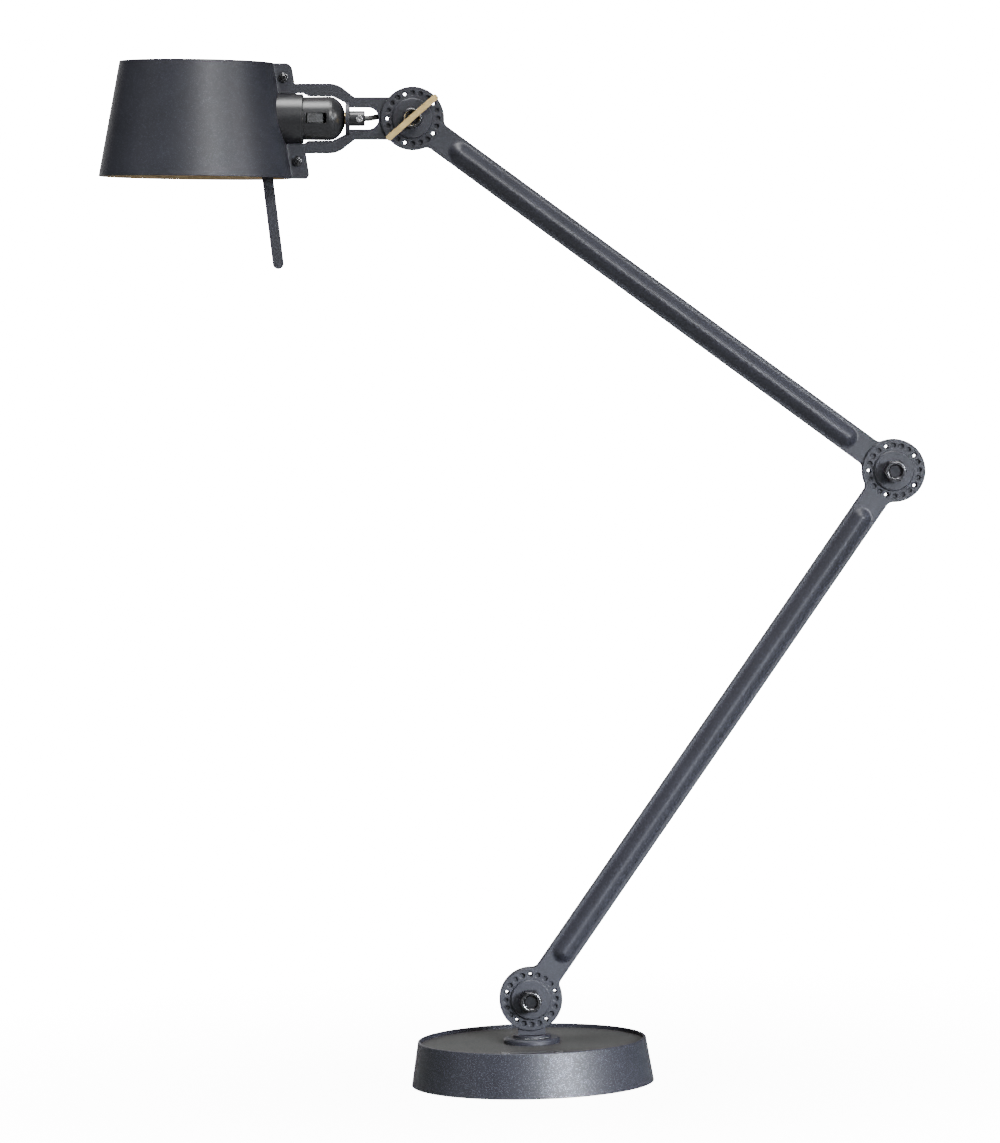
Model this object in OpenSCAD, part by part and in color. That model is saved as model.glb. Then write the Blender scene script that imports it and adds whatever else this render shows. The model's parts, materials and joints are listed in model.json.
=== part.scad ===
// Two-arm architect desk lamp. Millimetres, +Z up, origin at the centre of the base's underside.
// The lamp's arms lie in the XZ plane; -Y is the front, where the nuts and the switch are.

/* [Pose] */
// Direction of the lower arm from the base joint, degrees above +X
lower_arm_angle = 54.2; // [50:0.1:60]
// Direction of the upper arm from the elbow, degrees above +X
upper_arm_angle = 142.4; // [138:0.1:148]
// Lean of the lamp head, degrees clockwise seen from the front
head_lean = 1.4; // [0:0.1:5]

/* [Base] */
// Bottom diameter of the conical base
base_d = 200; // [190:1:220]
// Top diameter of the base
base_top_d = 188; // [180:1:190]
// Height of the base rim above the table
base_h = 37; // [36:1:42]
// Depth of the top plate below the rim
rim_depth = 3.3; // [2:0.1:5]
// Height of the base joint's pivot
pivot_z = 70; // [66:0.5:74]
// Diameter of the fixed swivel flange
flange_d = 46.5; // [40:0.5:60]
// Diameter of the turning foot of the knuckle
foot_d = 31; // [28:0.5:36]
// Width of the knuckle's stem
stem_w = 22.6; // [18:0.2:24]

/* [Arms] */
// Lower arm length between pivots
lower_arm_len = 527; // [450:1:600]
// Upper arm length between pivots
upper_arm_len = 488; // [420:1:560]
// Width of the arm strips
strip_w = 23; // [20:0.5:26]
// Outer radius of the pressed ridge
ridge_r = 6.8; // [6.6:0.1:7.4]
// Distance from a pivot to the end of the ridge
ridge_gap = 38.7; // [34:0.1:44]
// Sheet thickness of the arms
sheet_t = 1.5; // [1.4:0.1:1.6]

/* [Joints] */
// Diameter of the joint discs
disc_d = 52; // [50:0.5:56]
// Number of index holes in a clevis disc
hole_count = 20; // [20:20:20]
// Diameter of the index holes
hole_d = 3.8; // [3:0.1:4.2]
// Diameter of the catch holes in the tongue between two index discs
catch_d = 2.4; // [2:0.1:3.6]
// Radius of the ring of index holes
hole_ring_r = 20.7; // [20:0.1:21]
// Diameter of the raised washers
washer_d = 33; // [30:0.5:34]
// Length of the tall nuts
nut_l = 17; // [14:0.5:20]
// Length of the brass bar on the clamp nut
bar_l = 54; // [40:1:56]
// Width of the brass bar
bar_w = 5; // [4:0.5:6]
// Turn of the brass bar above the horizontal
bar_angle = 39.6; // [0:0.1:90]

/* [Shade] */
// Bottom diameter of the shade
shade_d = 158; // [150:1:170]
// Top diameter of the shade
shade_top_d = 125.5; // [118:0.5:130]
// Height of the shade
shade_h = 94.4; // [90:0.2:100]
// Lean of the shade in the head's own frame
shade_lean = 0.76; // [0:0.01:2]
// Sheet thickness of the shade
shade_t = 1.2; // [1:0.1:1.5]

/* [Head] */
// Thickness of the head plate
plate_t = 3; // [3:0.1:3]
// Width of the plate's fork
fork_w = 57; // [54:0.5:60]
// Width of the plate's neck
neck_w = 34.8; // [32:0.2:38]
// Diameter of the lampholder's skirt
skirt_d = 40.3; // [38:0.1:41]
// Diameter of the lampholder's cap
cap_d = 35.7; // [34:0.1:36]
// Diameter of the bulb
bulb_d = 60; // [45:1:64]

/* [Lead] */
// Diameter of the inner lead
lead_d = 4.6; // [4:0.1:4.6]

/* [Hidden] */

$fn = 64;

charcoal = [0.22, 0.22, 0.25];
soft_black = [0.10, 0.10, 0.11];
steel = [0.62, 0.62, 0.64];
brass = [0.78, 0.66, 0.40];
white_nylon = [0.85, 0.85, 0.83];

// Small gaps
slip = 0.1;        // between sliding faces
run = 0.05;        // radial clearance of a pin in its bore
seam = 0.05;       // half of the seam between two half shells

// Base
base_wall = 2;
pad_t = 1.2;
bottom_t = 1.5;
top_plate_t = 2.5;
top_z = base_h - rim_depth;
ballast_r = base_top_d / 2 - 5;
ballast_z0 = pad_t + bottom_t + 0.3;
pocket_r = 26;
pocket_z = 20;
channel_w = 14;
gland_z = 11;
gland_in = -4.6;           // inner end of the gland, below the wall outside
base_screw_r = 70;
flange_t = 4.4;
spindle_r = 8;
flange_screw_r = 16;       // radius of the ring of flange screws
screw_bore = 2.1;          // radius of a clearance hole for an M4 screw
badge_rivet_bore = 1.5;
badge_t = 1;
badge_w = 50;
badge_h = 22;
foot_t = 2;
foot_z = top_z + flange_t + 0.5;
badge_hole_x = 19;
badge_hole_y = 73;
block_top = 12.5;          // distance of the stem's block below the pivot

// Joint stack, distances from the mid-plane
tongue_in = 2.5;           // inner face of a tongue's cheeks
tongue_out = tongue_in + sheet_t;
friction_t = 0.8;
friction_r = 17.5;
clevis_in = tongue_out + friction_t;
clevis_out = clevis_in + sheet_t;
washer_t = 2.5;
bolt_r = 5;
hex_af = 16;
hex_h = 6.4;
post_d = 16;
nut_recess = 3;
tongue_holes = 5;
catch_phase = 36;          // of the upper arm's catch holes at the elbow
fillet_r = 6;
bush_r = 7.5;
ring_r = 10.2;             // mean radius of the lead's turn round a joint
ring_edge = ring_r + lead_d / 2 + 0.1;
lead_r = lead_d / 2;
wall_from = 41;            // distance from a pivot to the start of an arm's side walls

// Pivots in the XZ plane
P_base = [0, 0, pivot_z];
P_elbow = P_base + lower_arm_len * [cos(lower_arm_angle), 0, sin(lower_arm_angle)];
P_head = P_elbow + upper_arm_len * [cos(upper_arm_angle), 0, sin(upper_arm_angle)];

// Head, in its own frame: origin at the head joint, -X towards the shade
shade_x = -177.9;          // centre of the shade's bottom rim
shade_z = -48.2;
flange_w = 15;
flange_bolts = [[-105.1, 33.4], [-94.1, -34.9]];
skirt_x0 = -89.2;          // right end of the skirt
skirt_x1 = -124;           // left end of the skirt, inside the shade
cap_x0 = -88;
cap_dome_x = -67.5;
cap_x1 = -54.9;
bracket_x = -54.7;
bracket_t = 3.2;
grip_x1 = -39;
grip_d = 12.5;
slot_h = 17.6;
switch_x = -78.3;
switch_l = 16.7;
switch_h = 8.2;
handle_w = 9.1;
spool_in = 6.8;            // distance of the lead's turn behind the mid-plane

// ---------- placing ----------

// Puts the children, drawn with X along the lower arm and Z across it, in place
module on_lower_arm() { translate(P_base) rotate([0, -lower_arm_angle, 0]) children(); }
module on_upper_arm() { translate(P_elbow) rotate([0, -upper_arm_angle, 0]) children(); }
module on_head() { translate(P_head) rotate([0, head_lean, 0]) children(); }
// Cylinder along Y from y0 to y1
module y_cyl(r, y0, y1) { translate([0, y1, 0]) rotate([90, 0, 0]) cylinder(r = r, h = y1 - y0); }
// Prism of a flat outline drawn in XZ, from y0 to y1
module y_plate(y0, y1) { translate([0, y1, 0]) rotate([90, 0, 0]) linear_extrude(y1 - y0) children(); }
// Hexagonal prism along Y with both rims chamfered, flats facing up and down
module y_hex(af, y0, y1) {
    ra = af / sqrt(3);
    c = (ra - af / 2) / 1.732;
    intersection() {
        translate([0, y1, 0]) rotate([90, 0, 0]) cylinder(r = ra, h = y1 - y0, $fn = 6);
        translate([0, y1, 0]) rotate([90, 0, 0]) rotate_extrude($fn = 64)
            polygon([[0, 0], [af / 2 - 0.3, 0], [ra, c + 0.3], [ra, y1 - y0 - c - 0.3],
                     [af / 2 - 0.3, y1 - y0], [0, y1 - y0]]);
    }
}

// ---------- shared shapes ----------

// Outline of an arm: a strip with a round disc at each end and filleted necks
module arm_outline(len) {
    w = strip_w / 2;
    R = disc_d / 2;
    f = fillet_r;
    bite = 0.05;   // the fillets cut this far into the discs, so no edge is a sliver
    xc = sqrt(pow(R + f - bite, 2) - pow(w + f, 2));
    circle(R, $fn = 96);
    translate([len, 0]) circle(R, $fn = 96);
    translate([0, -w]) square([len, strip_w]);
    for (end = [0, 1], side = [-1, 1])
        translate([end * len, 0]) mirror([end, 0]) scale([1, side])
            difference() {
                polygon([[0, 0], [xc, 0], [xc, w + f]]);
                translate([xc, w + f]) circle(f, $fn = 48);
            }
}

// Capsule along X, its round ends centred at a and b
module capsule(r, a, b) {
    rotate([0, 90, 0]) translate([0, 0, a - r]) rotate_extrude($fn = 64) intersection() {
        union() {
            translate([0, r]) circle(r, $fn = 64);
            translate([0, r + b - a]) circle(r, $fn = 64);
            translate([0, r]) square([r, b - a]);
        }
        square([r + 1, b - a + 2 * r + 1]);
    }
}

// Holes of one disc: the bolt's bore and a ring of index or catch holes, the first at phase
module disc_holes(at, from, count, phase) {
    r = count == tongue_holes ? catch_d / 2 : hole_d / 2;
    translate([at, 0, 0]) {
        y_cyl(bolt_r + run, from - 4, from + 4);
        for (k = [0 : count - 1])
            rotate([0, -phase - k * 360 / count, 0])
                translate([hole_ring_r, 0, 0]) y_cyl(r, from - 4, from + 4);
    }
}

// One pressed half of an arm on the +Y side, its flat between inner and inner + sheet_t
module arm_half(len, inner, count_a, phase_a, count_b) {
    outer = inner + sheet_t;
    w = strip_w / 2;
    difference() {
        union() {
            y_plate(inner, outer) arm_outline(len);
            translate([0, outer, 0]) intersection() {
                capsule(ridge_r, ridge_gap + ridge_r, len - ridge_gap - ridge_r);
                translate([0, -0.5, -ridge_r - 1]) cube([len, ridge_r + 2, ridge_r * 2 + 2]);
            }
            for (side = [-1, 1])
                translate([wall_from, seam, side * (w - sheet_t / 2) - sheet_t / 2])
                    cube([len - 2 * wall_from, inner - seam + 0.1, sheet_t]);
        }
        translate([0, outer, 0])
            capsule(ridge_r - sheet_t, ridge_gap + ridge_r, len - ridge_gap - ridge_r);
        disc_holes(0, (inner + outer) / 2, count_a, phase_a);
        disc_holes(len, (inner + outer) / 2, count_b, 180);
    }
}

// Tall nut on the front, its thread bore wider than the recessed bolt end
module tall_nut(y0) {
    difference() {
        y_hex(hex_af, y0 - nut_l, y0);
        y_cyl(bolt_r + run, y0 - nut_l - 1, y0 + 1);
        translate([0, y0 - nut_l - 0.01, 0]) rotate([-90, 0, 0])
            cylinder(r1 = bolt_r + 1.2, r2 = bolt_r, h = 1.2);
    }
}

// Hexagon-headed bolt from the rear, its end recessed in the tall nut
module through_bolt(y_head, y_front) {
    y_cyl(bolt_r, y_front, y_head + 0.5);
    y_hex(hex_af, y_head, y_head + hex_h);
}

// Ring washer between y0 and y1
module y_ring(r_out, r_in, y0, y1) {
    difference() {
        y_cyl(r_out, y0, y1);
        y_cyl(r_in, y0 - 1, y1 + 1);
    }
}

// Raised washer with a chamfered outer rim, from the arm's face outwards
module raised_washer(face, side) {
    scale([1, side, 1]) difference() {
        translate([0, face, 0]) rotate([-90, 0, 0]) rotate_extrude($fn = 96)
            polygon([[0, 0], [washer_d / 2, 0], [washer_d / 2, washer_t - 0.7],
                     [washer_d / 2 - 0.7, washer_t], [0, washer_t]]);
        y_cyl(bolt_r + run, face - 1, face + washer_t + 1);
    }
}

// One turn of the lead round a joint
module lead_turn(y) {
    translate([0, y, 0]) rotate([90, 0, 0]) rotate_extrude($fn = 64)
        translate([ring_r, 0]) circle(lead_r, $fn = 32);
}

// Tube of n sides along a route that never runs along the direction ref
tube_sides = 12;
module tube(route, r, n, ref = [0, 0, 1]) {
    count = len(route);
    function along(k) = let (d = route[min(k + 1, count - 1)] - route[max(k - 1, 0)]) d / norm(d);
    function rim(k) = let (t = along(k), u = cross(t, ref), a = u / norm(u), b = cross(t, a))
        [for (j = [0 : n - 1]) route[k] + r * (cos(j * 360 / n) * a + sin(j * 360 / n) * b)];
    polyhedron([for (k = [0 : count - 1]) each rim(k)], concat(
        [[for (j = [0 : n - 1]) j]],
        [for (k = [0 : count - 2], j = [0 : n - 1])
            [k * n + j, (k + 1) * n + j, (k + 1) * n + (j + 1) % n, k * n + (j + 1) % n]],
        [[for (j = [n - 1 : -1 : 0]) (count - 1) * n + j]]));
}

// ---------- base ----------

// Outer radius of the conical base at height z
function base_r(z) = base_d / 2 + (base_top_d - base_d) / 2 * z / base_h;
base_slope = atan((base_d - base_top_d) / 2 / base_h);

// Places the children, drawn with +Y out through the wall, at the gland
module at_gland() { translate([0, base_r(gland_z), gland_z]) rotate([base_slope, 0, 0]) children(); }

module base_shell() color(charcoal) {
    z0 = pad_t - 0.4;
    ledge_z = top_z - top_plate_t;
    difference() {
        rotate_extrude($fn = 180) polygon([
            [base_r(z0), z0], [base_r(base_h - 0.5), base_h - 0.5], [base_r(base_h) - 0.5, base_h],
            [base_r(base_h) - base_wall, base_h], [base_r(ledge_z) - base_wall, ledge_z],
            [base_r(ledge_z) - base_wall - 2, ledge_z], [base_r(ledge_z) - base_wall - 2, ledge_z - 1.5],
            [base_r(ledge_z - 1.5) - base_wall, ledge_z - 1.5], [base_r(z0) - base_wall, z0]]);
        at_gland() y_cyl(4.5, -6, 4);
    }
}

module base_top_plate() color([0.23, 0.22, 0.21]) difference() {
    translate([0, 0, top_z - top_plate_t])
        cylinder(r = base_r(top_z) - base_wall - 0.1, h = top_plate_t, $fn = 180);
    translate([0, 0, top_z - 10]) cylinder(r = spindle_r + run, h = 20);
    flange_screw_holes();
    for (side = [-1, 1])
        translate([side * badge_hole_x, -badge_hole_y, top_z - 5])
            cylinder(r = badge_rivet_bore, h = 10, $fn = 32);
}

module flange_screw_holes() {
    for (k = [0 : 2])
        rotate(90 + 120 * k) translate([flange_screw_r, 0, 10])
            cylinder(r = screw_bore, h = top_z - 10 + 3.2, $fn = 32);
}

module base_ballast() color([0.3, 0.3, 0.3]) difference() {
    translate([0, 0, ballast_z0])
        cylinder(r = ballast_r, h = top_z - top_plate_t - ballast_z0, $fn = 180);
    translate([0, 0, -1]) cylinder(r = pocket_r, h = pocket_z + 5, $fn = 96);
    translate([-channel_w / 2, 0, -1]) cube([channel_w, ballast_r + 5, 19]);
    cylinder(r = spindle_r + run, h = top_z);
    flange_screw_holes();
    for (side = [-1, 1])
        translate([side * badge_hole_x, -badge_hole_y, top_z - 9])
            cylinder(r = badge_rivet_bore, h = 12, $fn = 32);
    for (k = [0 : 3])
        rotate(45 + 90 * k) translate([base_screw_r, 0, 0]) cylinder(r = screw_bore, h = 14, $fn = 32);
}

module base_bottom_plate() color(charcoal) difference() {
    translate([0, 0, pad_t]) cylinder(r = base_r(pad_t) - base_wall - 0.6, h = bottom_t, $fn = 180);
    for (k = [0 : 3])
        rotate(45 + 90 * k) translate([base_screw_r, 0, 0]) {
            cylinder(r = screw_bore, h = 10, $fn = 32);
            translate([0, 0, pad_t - 0.01]) cylinder(r1 = 4, r2 = screw_bore, h = 1.4, $fn = 48);
        }
}

module base_pad() color([0.12, 0.12, 0.12]) difference() {
    cylinder(r = base_d / 2 - 6, h = pad_t, $fn = 180);
    for (k = [0 : 3])
        rotate(45 + 90 * k) translate([base_screw_r, 0, -1]) cylinder(r = 5, h = 4, $fn = 48);
}

module base_screws() color(steel)
    for (k = [0 : 3])
        rotate(45 + 90 * k) translate([base_screw_r, 0, pad_t]) {
            cylinder(r1 = 3.8, r2 = 1.9, h = 1.3, $fn = 48);
            cylinder(r = 1.9, h = 10, $fn = 32);
        }

module badge_plate() color([0.3, 0.3, 0.31]) difference() {
    translate([-badge_w / 2, -badge_hole_y - badge_h / 2, top_z]) cube([badge_w, badge_h, badge_t]);
    for (side = [-1, 1])
        translate([side * badge_hole_x, -badge_hole_y, top_z - 1])
            cylinder(r = badge_rivet_bore, h = 4, $fn = 32);
}

module badge_rivets() color(soft_black)
    for (side = [-1, 1]) translate([side * badge_hole_x, -badge_hole_y, 0]) {
        translate([0, 0, top_z - 6]) cylinder(r = badge_rivet_bore - run, h = 6.2 + badge_t, $fn = 32);
        translate([0, 0, top_z + badge_t]) intersection() {
            translate([0, 0, -1.6]) sphere(2.6, $fn = 48);
            cylinder(r = 3, h = 2);
        }
    }

module cable_gland() color(soft_black) at_gland() difference() {
    union() {
        y_cyl(6.5, 0.1, 2.2);
        y_cyl(4.4, gland_in, 0.2);
        y_cyl(6, gland_in, -2.3);
    }
    y_cyl(3.1, -6, 4);
}

// Lead in the base: from the gland along the ballast's channel and up to the spindle
module base_lead() color(soft_black) {
    bend = 9.5;
    floor_z = 6;
    rise_y = 70;
    run_in = gland_in - 0.1;
    entry = [0, base_r(gland_z) + run_in * cos(base_slope), gland_z + run_in * sin(base_slope)];
    tube(concat([[0, 0, spindle_z0 - 0.05]],
        [for (a = [0 : 15 : 90]) [0, bend * (1 - cos(a)), floor_z + bend * (1 - sin(a)) - 0.3]],
        [[0, rise_y - 4, floor_z - 0.3], [0, rise_y, floor_z]], [entry]), lead_r, tube_sides,
        [1, 0, 0]);
}

// ---------- swivel ----------

module swivel_flange() color(charcoal) difference() {
    translate([0, 0, top_z]) rotate_extrude($fn = 96)
        polygon([[spindle_r + run, 0], [flange_d / 2, 0], [flange_d / 2, flange_t - 1.2],
                 [flange_d / 2 - 1.2, flange_t], [spindle_r + run, flange_t]]);
    flange_screw_holes();
}

module flange_screws() color(steel)
    for (k = [0 : 2]) rotate(90 + 120 * k) translate([flange_screw_r, 0, 0]) {
        translate([0, 0, pocket_z + 0.9]) cylinder(r = 3.4, h = 3.1, $fn = 48);
        translate([0, 0, pocket_z + 1]) cylinder(r = 2, h = top_z - pocket_z + 1.8, $fn = 32);
    }

spindle_z0 = 15.5;
module knuckle() color(charcoal) difference() {
    union() {
        translate([0, 0, spindle_z0]) cylinder(r = spindle_r, h = foot_z - spindle_z0 + 0.1);
        translate([0, 0, foot_z]) cylinder(r = foot_d / 2, h = foot_t, $fn = 96);
        for (side = [-1, 1]) scale([1, side, 1]) translate([0, 0, pivot_z])
            y_plate(tongue_in, tongue_out) {
                circle(disc_d / 2, $fn = 96);
                translate([-stem_w / 2, foot_z + foot_t - 0.1 - pivot_z])
                    square([stem_w, pivot_z - foot_z]);
            }
        translate([-stem_w / 2, -tongue_in - 0.1, foot_z + foot_t - 0.1])
            cube([stem_w, 2 * tongue_in + 0.2, pivot_z - block_top - 0.6 - foot_z - foot_t]);
    }
    translate([0, 0, 1]) cylinder(r = lead_r + 0.2, h = pivot_z - 1, $fn = 48);
    translate([0, 0, pivot_z]) {
        disc_holes(0, -(tongue_in + tongue_out) / 2, tongue_holes, 90);
        disc_holes(0, (tongue_in + tongue_out) / 2, tongue_holes, 90);
    }
}

module thrust_washer() color(white_nylon) difference() {
    translate([0, 0, top_z + flange_t + run]) cylinder(r = foot_d / 2 - 1, h = 0.5 - 2 * run, $fn = 96);
    cylinder(r = spindle_r + run, h = base_h * 2);
}

module swivel_washer() color(steel) difference() {
    translate([0, 0, pocket_z + 2.4]) cylinder(r = 11.8, h = 1.5, $fn = 96);
    cylinder(r = spindle_r + run, h = base_h);
}

module swivel_nut() color(steel) difference() {
    translate([0, 0, pocket_z - 3.8]) rotate([-90, 0, 0]) y_hex(20, -6.2, 0);
    cylinder(r = spindle_r + run, h = base_h);
}

module knuckle_bush() color(steel)
    translate(P_base) y_ring(bush_r, bolt_r + run, -tongue_in + run, tongue_in - run);

// Lead up through the spindle and once round the base joint's bush
module knuckle_lead() color(soft_black) {
    translate([0, 0, spindle_z0]) cylinder(r = lead_r, h = pivot_z - ring_r - spindle_z0, $fn = 32);
    translate(P_base) lead_turn(0);
}

// ---------- lower arm ----------

module lower_arm_front() color(charcoal) on_lower_arm() mirror([0, 1, 0])
    arm_half(lower_arm_len, clevis_in, hole_count, 0, hole_count);
module lower_arm_rear() color(charcoal) on_lower_arm()
    arm_half(lower_arm_len, clevis_in, hole_count, 0, hole_count);

module base_joint_bolt() color(steel) translate(P_base)
    through_bolt(clevis_out + washer_t, -clevis_out - washer_t - nut_l + nut_recess);
module base_joint_nut() color(steel) translate(P_base) tall_nut(-clevis_out - washer_t);
module elbow_bolt() color(steel) translate(P_elbow)
    through_bolt(clevis_out + washer_t, -clevis_out - washer_t - nut_l + nut_recess);
module elbow_nut() color(steel) translate(P_elbow) tall_nut(-clevis_out - washer_t);

module lower_arm_washers() color(charcoal)
    for (p = [P_base, P_elbow], side = [-1, 1]) translate(p) raised_washer(clevis_out, side);

module lower_friction_washers() color(white_nylon)
    for (p = [P_base, P_elbow], side = [-1, 1]) translate(p) scale([1, side, 1])
        y_ring(friction_r, bolt_r + run, tongue_out + slip, clevis_in);

// Lead inside the lower arm, between the turns at its two joints
module lower_arm_lead() color(soft_black) on_lower_arm() difference() {
    rotate([0, 90, 0]) cylinder(r = lead_r, h = lower_arm_len, $fn = 32);
    y_cyl(ring_edge, -5, 5);
    translate([lower_arm_len, 0, 0]) y_cyl(ring_edge, -5, 5);
}

// ---------- upper arm ----------

// The lead leaves the rear ridge at exit_x and runs to the side of its turn at the head joint
exit_reach = 47;           // from the head joint back to where the lead leaves the ridge
exit_x = upper_arm_len - exit_reach;
exit_angle = asin(ring_r / exit_reach);
module exit_line(r, from, to) {
    translate([exit_x, spool_in, 0]) rotate([0, exit_angle, 0]) rotate([0, 90, 0])
        translate([0, 0, from]) cylinder(r = r, h = to - from, $fn = 32);
}

module upper_arm_front() color(charcoal) on_upper_arm() mirror([0, 1, 0])
    arm_half(upper_arm_len, tongue_in, tongue_holes, catch_phase, hole_count);

module upper_arm_rear() color(charcoal) on_upper_arm() difference() {
    arm_half(upper_arm_len, tongue_in, tongue_holes, catch_phase, hole_count);
    exit_line(lead_r + 0.35, 0, 20);
}

module elbow_bush() color(steel)
    translate(P_elbow) y_ring(bush_r, bolt_r + run, -tongue_in + run, tongue_in - run);

// Lead of the upper arm: a turn at the elbow, along the rear ridge, a turn at the head joint
module upper_arm_lead() color(soft_black) {
    out = [-cos(exit_angle), 0, sin(exit_angle)];
    tangent = [exit_x, spool_in, 0] - exit_reach * cos(exit_angle) * out;
    route = [[ring_edge - 2, 0, 0], [60, 0, 0], [100, 0.6, 0], [exit_x - 60, spool_in - 0.6, 0],
             [exit_x - 20, spool_in, 0], [exit_x - 2, spool_in, 0], [exit_x, spool_in, 0] - 2 * out,
             tangent];
    translate(P_elbow) lead_turn(0);
    translate(P_head) lead_turn(spool_in);
    on_upper_arm() difference() {
        tube(route, lead_r, tube_sides);
        y_cyl(ring_edge, -5, 5);
        translate([upper_arm_len, 0, 0]) y_cyl(ring_edge, -20, 20);
    }
}

spool_out = spool_in + lead_r + 0.2;
module head_joint_bolt() color(steel) translate(P_head)
    through_bolt(spool_out + 2, -tongue_out - washer_t - nut_l + nut_recess + 3);
module head_joint_washer() color(charcoal) translate(P_head) raised_washer(tongue_out, -1);
module lead_spool() color(charcoal) translate(P_head) difference() {
    union() {
        y_cyl(bush_r, tongue_out, spool_out + 1);
        y_cyl(washer_d / 2, spool_out, spool_out + 2);
    }
    y_cyl(bolt_r + run, 0, 20);
}
module upper_friction_washers() color(white_nylon) translate(P_head)
    for (side = [-1, 1]) scale([1, side, 1])
        y_ring(friction_r, bolt_r + run, plate_t / 2 + slip, tongue_in);

// ---------- clamp handle ----------

post_y0 = -tongue_out - washer_t - slip;
post_y1 = post_y0 - nut_l;
bar_deep = 6;
bar_proud = 0.8;
bar_edge = 1.4;            // side of the square cut off each corner of the bar
post_edge = 0.8;
module clamp_nut() color(steel) translate(P_head) difference() {
    rotate([0, -bar_angle, 0]) difference() {
        translate([0, post_y1, 0]) rotate([-90, 0, 0]) rotate_extrude($fn = 96)
            polygon([[0, 0], [post_d / 2 - post_edge, 0], [post_d / 2, post_edge],
                     [post_d / 2, nut_l], [0, nut_l]]);
        translate([-post_d, post_y1 - 1, -bar_w / 2 - 0.02])
            cube([post_d * 2, bar_deep - bar_proud + 1.02, bar_w + 0.04]);
    }
    y_cyl(bolt_r + run, post_y1 - 1, post_y0 + 1);
    y_cyl(post_d / 2 - 1.7, post_y1 - 1, post_y1 + 5);
}

module clamp_bar() color(brass) translate(P_head) rotate([0, -bar_angle, 0])
    translate([-bar_l / 2, post_y1 - bar_proud, -bar_w / 2]) difference() {
        cube([bar_l, bar_deep, bar_w]);
        for (x = [0, bar_l], z = [0, bar_w])
            translate([x, -1, z]) rotate([0, 45, 0]) translate([-bar_edge / 2, 0, -bar_edge / 2])
                cube([bar_edge, bar_deep + 2, bar_edge]);
    }

// ---------- head ----------

// X of the cone's seam line at height z, in the head's frame
function seam_x(z) = shade_x + shade_d / 2 + (shade_top_d - shade_d) / 2 * (z - shade_z) / shade_h;

// Outline of one flange with rounded outer corners, from the seam outwards by w
module flange_outline(w, inset) {
    z0 = shade_z + 0.6 + inset;
    z1 = shade_z + shade_h + 0.2 - inset;
    r = 5 - inset;
    intersection() {
        polygon([[seam_x(z0) - 2, z0], [seam_x(z0) + w - inset, z0],
                 [seam_x(z1) + w - inset, z1], [seam_x(z1) - 2, z1]]);
        union() {
            translate([seam_x(z0) + w - inset - r - 0.8, z0 + r]) circle(r, $fn = 48);
            translate([seam_x(z1) + w - inset - r + 0.8, z1 - r]) circle(r, $fn = 48);
            polygon([[seam_x(z0) - 9, z0 - 1], [seam_x(z0) + w - inset - r - 0.8, z0 - 1],
                     [seam_x(z0) + w - inset - r - 0.8, z0 + r], [seam_x(z0) + w, z0 + r - 0.5],
                     [seam_x(z1) + w, z1 - r + 0.5], [seam_x(z1) + w - inset - r + 0.8, z1 - r],
                     [seam_x(z1) + w - inset - r + 0.8, z1 + 1], [seam_x(z1) - 9, z1 + 1]]);
        }
    }
}

handle_lean = 6.9;
handle_y0 = plate_t / 2;
handle_rivet_z = [-31, -38];
handle_rivet_bore = 1.6;
handle_end_z = -29;        // centre of the handle's hidden round end
handle_tip_z = -118.3;     // centre of its free round end

// Fork of the head plate: neck, shoulders and two prongs, with a rounded outer corner
module plate_outline() {
    shoulder_x = -47.4;
    corner_x = -61.5;
    corner_r = 19;
    h = fork_w / 2;
    n = neck_w / 2;
    slope = atan((h - n) / (shoulder_x - corner_x));
    t = corner_r * tan(slope / 2);
    difference() {
        union() {
            circle(disc_d / 2, $fn = 96);
            translate([shoulder_x, -n]) square([-shoulder_x, neck_w]);
            for (side = [-1, 1]) scale([1, side]) {
                polygon([[shoulder_x, 0], [shoulder_x, n], [corner_x + t * cos(slope), h - t * sin(slope)],
                         [corner_x - t, h - corner_r], [corner_x - t, 0]]);
                intersection() {
                    translate([corner_x - t, h - corner_r]) circle(corner_r, $fn = 96);
                    translate([corner_x - t - 0.1, 0]) square([t * 2 + 0.2, h + 1]);
                }
                translate([seam_x(side * h) + 2, 0]) square([corner_x - t - seam_x(side * h) - 2, h]);
            }
            // ears inside the flanges, and the tab that carries the aim handle
            flange_outline(flange_w, 1.2);
            translate([-127, -42]) square([30, 15]);
        }
        // opening round the skirt, the cap and the dome
        for (side = [-1, 1]) scale([1, side])
            polygon([[-140, 0], [-140, skirt_d / 2 + 0.4], [skirt_x0, skirt_d / 2 + 0.4],
                     [skirt_x0 + 4.2, cap_d / 2 + 0.15], [-65.5, cap_d / 2 + 0.15], [-55.5, 13],
                     [-53, 11], [-53, 0]]);
        // slot for the cord grip and the lead
        translate([-60, -slot_h / 2]) square([60 - 36.5, slot_h]);
        translate([-36.5, 0]) circle(slot_h / 2, $fn = 64);
    }
}

module head_plate() color(charcoal) on_head() difference() {
    y_plate(-plate_t / 2, plate_t / 2) difference() {
        plate_outline();
        translate([seam_x(0) - 30, shade_z + shade_h - 6]) square([25, 20]);
    }
    y_cyl(bolt_r + run, -5, 5);
    for (k = [0 : tongue_holes - 1]) rotate([0, 180 + k * 72, 0])
        translate([hole_ring_r, 0, 0]) y_cyl(catch_d / 2, -5, 5);
    for (p = flange_bolts) translate([p[0], 0, p[1]]) y_cyl(2.1, -5, 5);
    for (z = handle_rivet_z) translate([handle_x(z), 0, z]) y_cyl(handle_rivet_bore, -5, 5);
}

// X of the handle's centre line at height z
function handle_x(z) = -118.6 - (z + 49.2) * tan(handle_lean);

module in_shade() { translate([shade_x, 0, shade_z]) rotate([0, shade_lean, 0]) children(); }

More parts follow.
